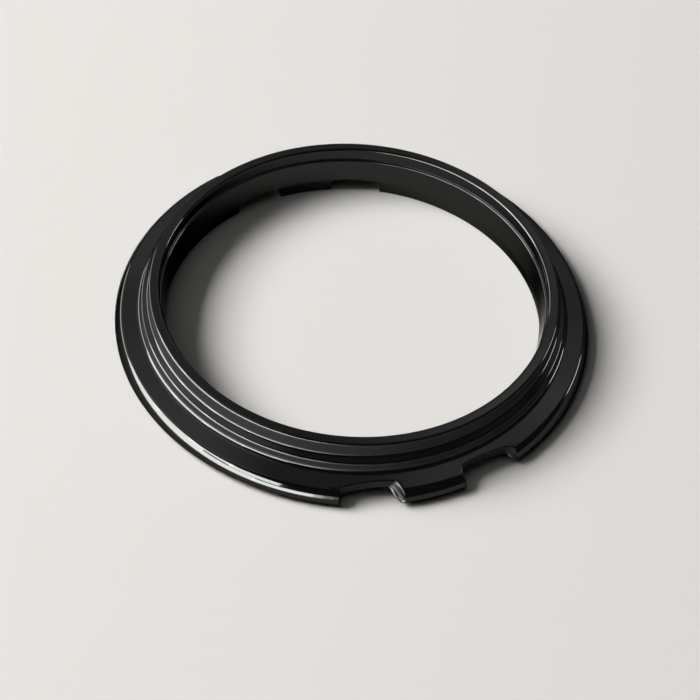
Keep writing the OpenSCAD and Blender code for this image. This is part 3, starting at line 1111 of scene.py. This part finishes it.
@dataclass(frozen=True)
class SealRubber:
    """Moulded nitrile rubber: a dull, slightly mottled black with no mirror gloss."""

    roughness: float = 0.62
    grain_mm: float = 0.12
    grain_depth_mm: float = 0.004
    grain_strength: float = 0.6
    grain_detail: float = 3.0

    def make(self) -> bpy.types.Material:
        """Builds the material, with the mould's fine grain as a bump."""
        material = empty_material("moulded nitrile rubber")
        tree = material.node_tree
        place = add(tree, "TexCoord").outputs["Object"]
        pattern = {"Vector": place, "Scale": grown(self.grain_mm), "Detail": self.grain_detail}
        grain = add(tree, "TexNoise", pattern)
        relief = {"Height": grain, "Strength": self.grain_strength, "Distance": self.grain_depth_mm * MM}
        bump = add(tree, "Bump", relief)
        look = {"Base Color": linear(Tone.RUBBER.value), "Roughness": self.roughness, "Normal": bump}
        add(tree, "OutputMaterial", {"Surface": add(tree, "BsdfPrincipled", look)})
        return material


@dataclass(frozen=True)
class PalePaper:
    """Pale uncoated card for the floor: even and dull, with no sheen that would mirror the windows."""

    roughness: float = 1.0
    shine: float = 0.0

    def make(self) -> bpy.types.Material:
        """Builds the material."""
        material = empty_material("pale matt card")
        tree = material.node_tree
        look = {
            "Base Color": linear(Tone.FLOOR.value),
            "Roughness": self.roughness,
            "Specular IOR Level": self.shine,
        }
        add(tree, "OutputMaterial", {"Surface": add(tree, "BsdfPrincipled", look)})
        return material


@dataclass(frozen=True)
class SoftLamp:
    """A flat soft light that faces the object, given by how it looks from there.

    Its angles are degrees. Its brightness is in whites: at 1 it looks as bright as white card in
    plain light. It either shows in reflections, lights dull surfaces, or does both.
    """

    name: str
    azimuth: float
    elevation: float
    width: float
    height: float
    brightness: float
    shows: bool = True
    lights: bool = True
    distance_mm: float = 1000.0

    def side_m(self, angle: float) -> float:
        """Length of a side that spans an angle from the object."""
        return 2 * self.distance_mm * MM * math.tan(math.radians(angle / 2))

    def build(self) -> bpy.types.Object:
        """Adds the lamp: a panel of brightness L and area A gives pi L A watts."""
        data = bpy.data.lights.new(self.name, "AREA")
        data.shape = "RECTANGLE"
        data.size, data.size_y = self.side_m(self.width), self.side_m(self.height)
        data.energy = math.pi * self.brightness * data.size * data.size_y
        data.color = linear(Tone.DAYLIGHT.value)[:3]
        lamp = placed(self.name, data)
        away = toward(self.azimuth, self.elevation)
        lamp.location = away * self.distance_mm * MM
        lamp.rotation_euler = (-away).to_track_quat("-Z", "Y").to_euler()
        lamp.visible_camera = False
        lamp.visible_glossy = self.shows
        lamp.visible_diffuse = self.lights
        return lamp


@dataclass(frozen=True)
class Pane:
    """A pane of the window: its middle, as degrees left of the viewer's line, and its foot and top."""

    left: float
    foot: float
    top: float


@dataclass(frozen=True)
class Glow:
    """A soft pale patch of the room, as degrees: where it is, its bright core, and where it fades out.

    Its azimuth is turned from the viewer's line, and is negative on the left.
    """

    azimuth: float
    elevation: float
    core: float
    reach: float
    brightness: float

    def add_to(self, tree: bpy.types.NodeTree, way: bpy.types.NodeSocket, front: float) -> bpy.types.Node:
        """Adds the patch to the room: its brightness falls smoothly with the angle from its middle.

        Args:
            tree: The world's node tree.
            way: The direction looked in.
            front: Azimuth of the viewer.

        Returns:
            The node that holds its brightness in that direction.
        """
        middle = toward(front + self.azimuth, self.elevation)
        near = add(tree, "VectorMath", {0: way, 1: middle}, operation="DOT_PRODUCT")
        spread = {
            "Value": near.outputs["Value"],
            "From Min": math.cos(math.radians(self.reach)),
            "From Max": math.cos(math.radians(self.core)),
            "To Min": 0.0,
            "To Max": self.brightness,
        }
        return add(tree, "MapRange", spread, interpolation_type="SMOOTHSTEP")


@dataclass(frozen=True)
class Studio:
    """Pale floor, soft lamps and a dim room with pale patches.

    Places are given by the part's own azimuth. The viewer stands at front, so a lamp to the
    left of the viewer's line has a smaller azimuth.
    """

    floor_mm: float = 3000.0
    front: float = FRONT
    room_brightness: float = 0.10
    low_panes: tuple[Pane, ...] = (
        Pane(left=22.25, foot=0.0, top=11.0),
        Pane(left=46.5, foot=0.0, top=13.0),
        Pane(left=71.0, foot=0.0, top=17.0),
        Pane(left=95.5, foot=0.0, top=20.0),
    )
    low_pane_w: float = 24.5
    low_brightness: float = 25.0
    upper_panes: tuple[Pane, ...] = (
        Pane(left=35.0, foot=14.0, top=22.0),
        Pane(left=56.0, foot=16.0, top=27.0),
        Pane(left=77.0, foot=18.0, top=32.0),
        Pane(left=98.0, foot=20.5, top=31.0),
    )
    upper_pane_w: float = 21.0
    upper_brightness: float = 24.0
    curtain_left: float = 8.0
    curtain_h: float = 11.0
    curtain_strips: int = 5
    curtain_strip_w: float = 4.0
    curtain_brightness: float = 12.0
    curtain_fade: float = 0.38

    def glows(self) -> list[Glow]:
        """Lists the room's pale patches: walls on the left, at the back and in the right-hand corner."""
        return [
            Glow(azimuth=-92.0, elevation=56.0, core=8.0, reach=26.0, brightness=1.05),
            Glow(azimuth=-116.0, elevation=36.0, core=8.0, reach=25.0, brightness=0.85),
            Glow(azimuth=-140.0, elevation=44.0, core=10.0, reach=28.0, brightness=0.20),
            Glow(azimuth=-150.0, elevation=20.0, core=6.0, reach=24.0, brightness=0.55),
            Glow(azimuth=-178.0, elevation=26.0, core=10.0, reach=30.0, brightness=0.42),
            Glow(azimuth=-172.0, elevation=70.0, core=12.0, reach=36.0, brightness=0.24),
            Glow(azimuth=152.0, elevation=40.0, core=12.0, reach=24.0, brightness=0.46),
            Glow(azimuth=138.0, elevation=62.0, core=8.0, reach=21.0, brightness=0.44),
            Glow(azimuth=133.0, elevation=38.0, core=5.0, reach=14.0, brightness=0.15),
        ]

    def window(self, name: str, panes: tuple[Pane, ...], width: float, brightness: float) -> list[SoftLamp]:
        """Lists the lamps of a row of panes, which show in reflections and light nothing else.

        Args:
            name: The row's name.
            panes: The panes, from the viewer's line outwards.
            width: Width of each pane, in degrees.
            brightness: Brightness of each pane.

        Returns:
            One lamp for each pane.
        """
        row = []
        for i, pane in enumerate(panes, 1):
            panel = (self.front - pane.left, (pane.foot + pane.top) / 2, width, pane.top - pane.foot)
            row.append(SoftLamp(f"{name}_{i}", *panel, brightness, lights=False))
        return row

    def curtain(self) -> list[SoftLamp]:
        """Lists the strips behind which the window's right-hand end fades out, each dimmer than the last."""
        strips = []
        for i in range(self.curtain_strips):
            azimuth = self.front - self.curtain_left + self.curtain_strip_w * i
            panel = (azimuth, self.curtain_h / 2, self.curtain_strip_w, self.curtain_h)
            brightness = self.curtain_brightness * self.curtain_fade**i
            strips.append(SoftLamp(f"curtain_{i + 1}", *panel, brightness, lights=False))
        return strips

    def lamps(self) -> list[SoftLamp]:
        """Lists the lamps: two rows of panes, a curtain, a dim and a far window, and two unseen lamps."""
        front = self.front
        return [
            *self.window("low_window", self.low_panes, self.low_pane_w, self.low_brightness),
            *self.window("upper_window", self.upper_panes, self.upper_pane_w, self.upper_brightness),
            *self.curtain(),
            SoftLamp("dim_window", front - 124, 9.5, width=32, height=19, brightness=12, lights=False),
            SoftLamp("far_window", front + 115, 12, width=15, height=7, brightness=30, lights=False),
            SoftLamp("key", front - 98, 40, width=36, height=26, brightness=14.5, shows=False),
            SoftLamp("fill", front - 60, 72, width=50, height=40, brightness=0.35, shows=False),
        ]

    def build(self) -> None:
        """Adds the floor, the lamps and the room's light."""
        half = self.floor_mm * MM / 2
        corners = [(-half, -half, 0), (half, -half, 0), (half, half, 0), (-half, half, 0)]
        mesh = bpy.data.meshes.new("floor")
        mesh.from_pydata(corners, [], [(0, 1, 2, 3)])
        mesh.materials.append(PalePaper().make())
        floor = placed("floor", mesh)
        for lamp in self.lamps():
            lamp.build()
        bpy.context.scene.world = self.room()
        bpy.context.scene.view_settings.view_transform = "Standard"

    def room(self) -> bpy.types.World:
        """Makes the room that reflections show: an even dimness with the pale patches added to it."""
        world = bpy.data.worlds.new("room")
        world.cycles_visibility.diffuse = False
        world.use_nodes = True
        tree = world.node_tree
        tree.nodes.clear()
        way = add(tree, "TexCoord").outputs["Generated"]
        strength = self.room_brightness
        for glow in self.glows():
            patch = glow.add_to(tree, way, self.front)
            strength = add(tree, "Math", {0: strength, 1: patch}, operation="ADD")
        light = add(tree, "Background", {"Color": linear(Tone.DAYLIGHT.value), "Strength": strength})
        add(tree, "OutputWorld", {"Surface": light})
        return world


@dataclass(frozen=True)
class Portrait:
    """The camera, where a perspective fitted to the turned edges puts it."""

    focal_px: float = 2400.0
    azimuth: float = FRONT
    elevation: float = 47.742
    roll: float = 4.383
    distance_mm: float = 213.09
    aim_z_mm: float = 0.5
    aim_px: tuple[float, float] = (352.33, 318.40)
    sensor_mm: float = 36.0
    clip_m: Span = (0.01, 10.0)

    def build(self) -> bpy.types.Object:
        """Adds the camera.

        It looks straight at the aim point and rolls about that line. Then it turns by the small
        angle that moves the aim point from the middle of the frame to its own pixel.
        """
        data = bpy.data.cameras.new("portrait")
        data.sensor_width = self.sensor_mm
        data.lens = self.focal_px / FRAME_PIXELS * self.sensor_mm
        data.clip_start, data.clip_end = self.clip_m
        camera = placed("portrait", data)
        away = toward(self.azimuth, self.elevation)
        aim = Vector((0, 0, self.aim_z_mm * MM))
        camera.location = aim + away * self.distance_mm * MM
        middle = FRAME_PIXELS / 2
        ray = Vector((self.aim_px[0] - middle, middle - self.aim_px[1], -self.focal_px)).normalized()
        facing = (-away).to_track_quat("-Z", "Y")
        rolled = facing @ Quaternion((0, 0, 1), math.radians(self.roll))
        turned = rolled @ ray.rotation_difference(Vector((0, 0, -1)))
        camera.rotation_euler = turned.to_euler()
        bpy.context.scene.camera = camera
        return camera


def main() -> None:
    """Builds the camera, the stage and the object's two pieces, and reports each piece."""
    logging.basicConfig(level=logging.INFO, format="%(name)s: %(message)s")
    Portrait().build()
    Studio().build()
    ring = BezelRing()
    skin = BezelSkin(ring).build()
    skin.data.materials.append(CoatedSteel().make())
    seal = CaseSeal(ring).build()
    seal.data.materials.append(SealRubber().make())
    for piece in (skin, seal):
        LOG.info("%s: %d faces, %s", piece.name, len(piece.data.polygons), piece.data.materials[0].name)


if __name__ == "__main__":
    main()
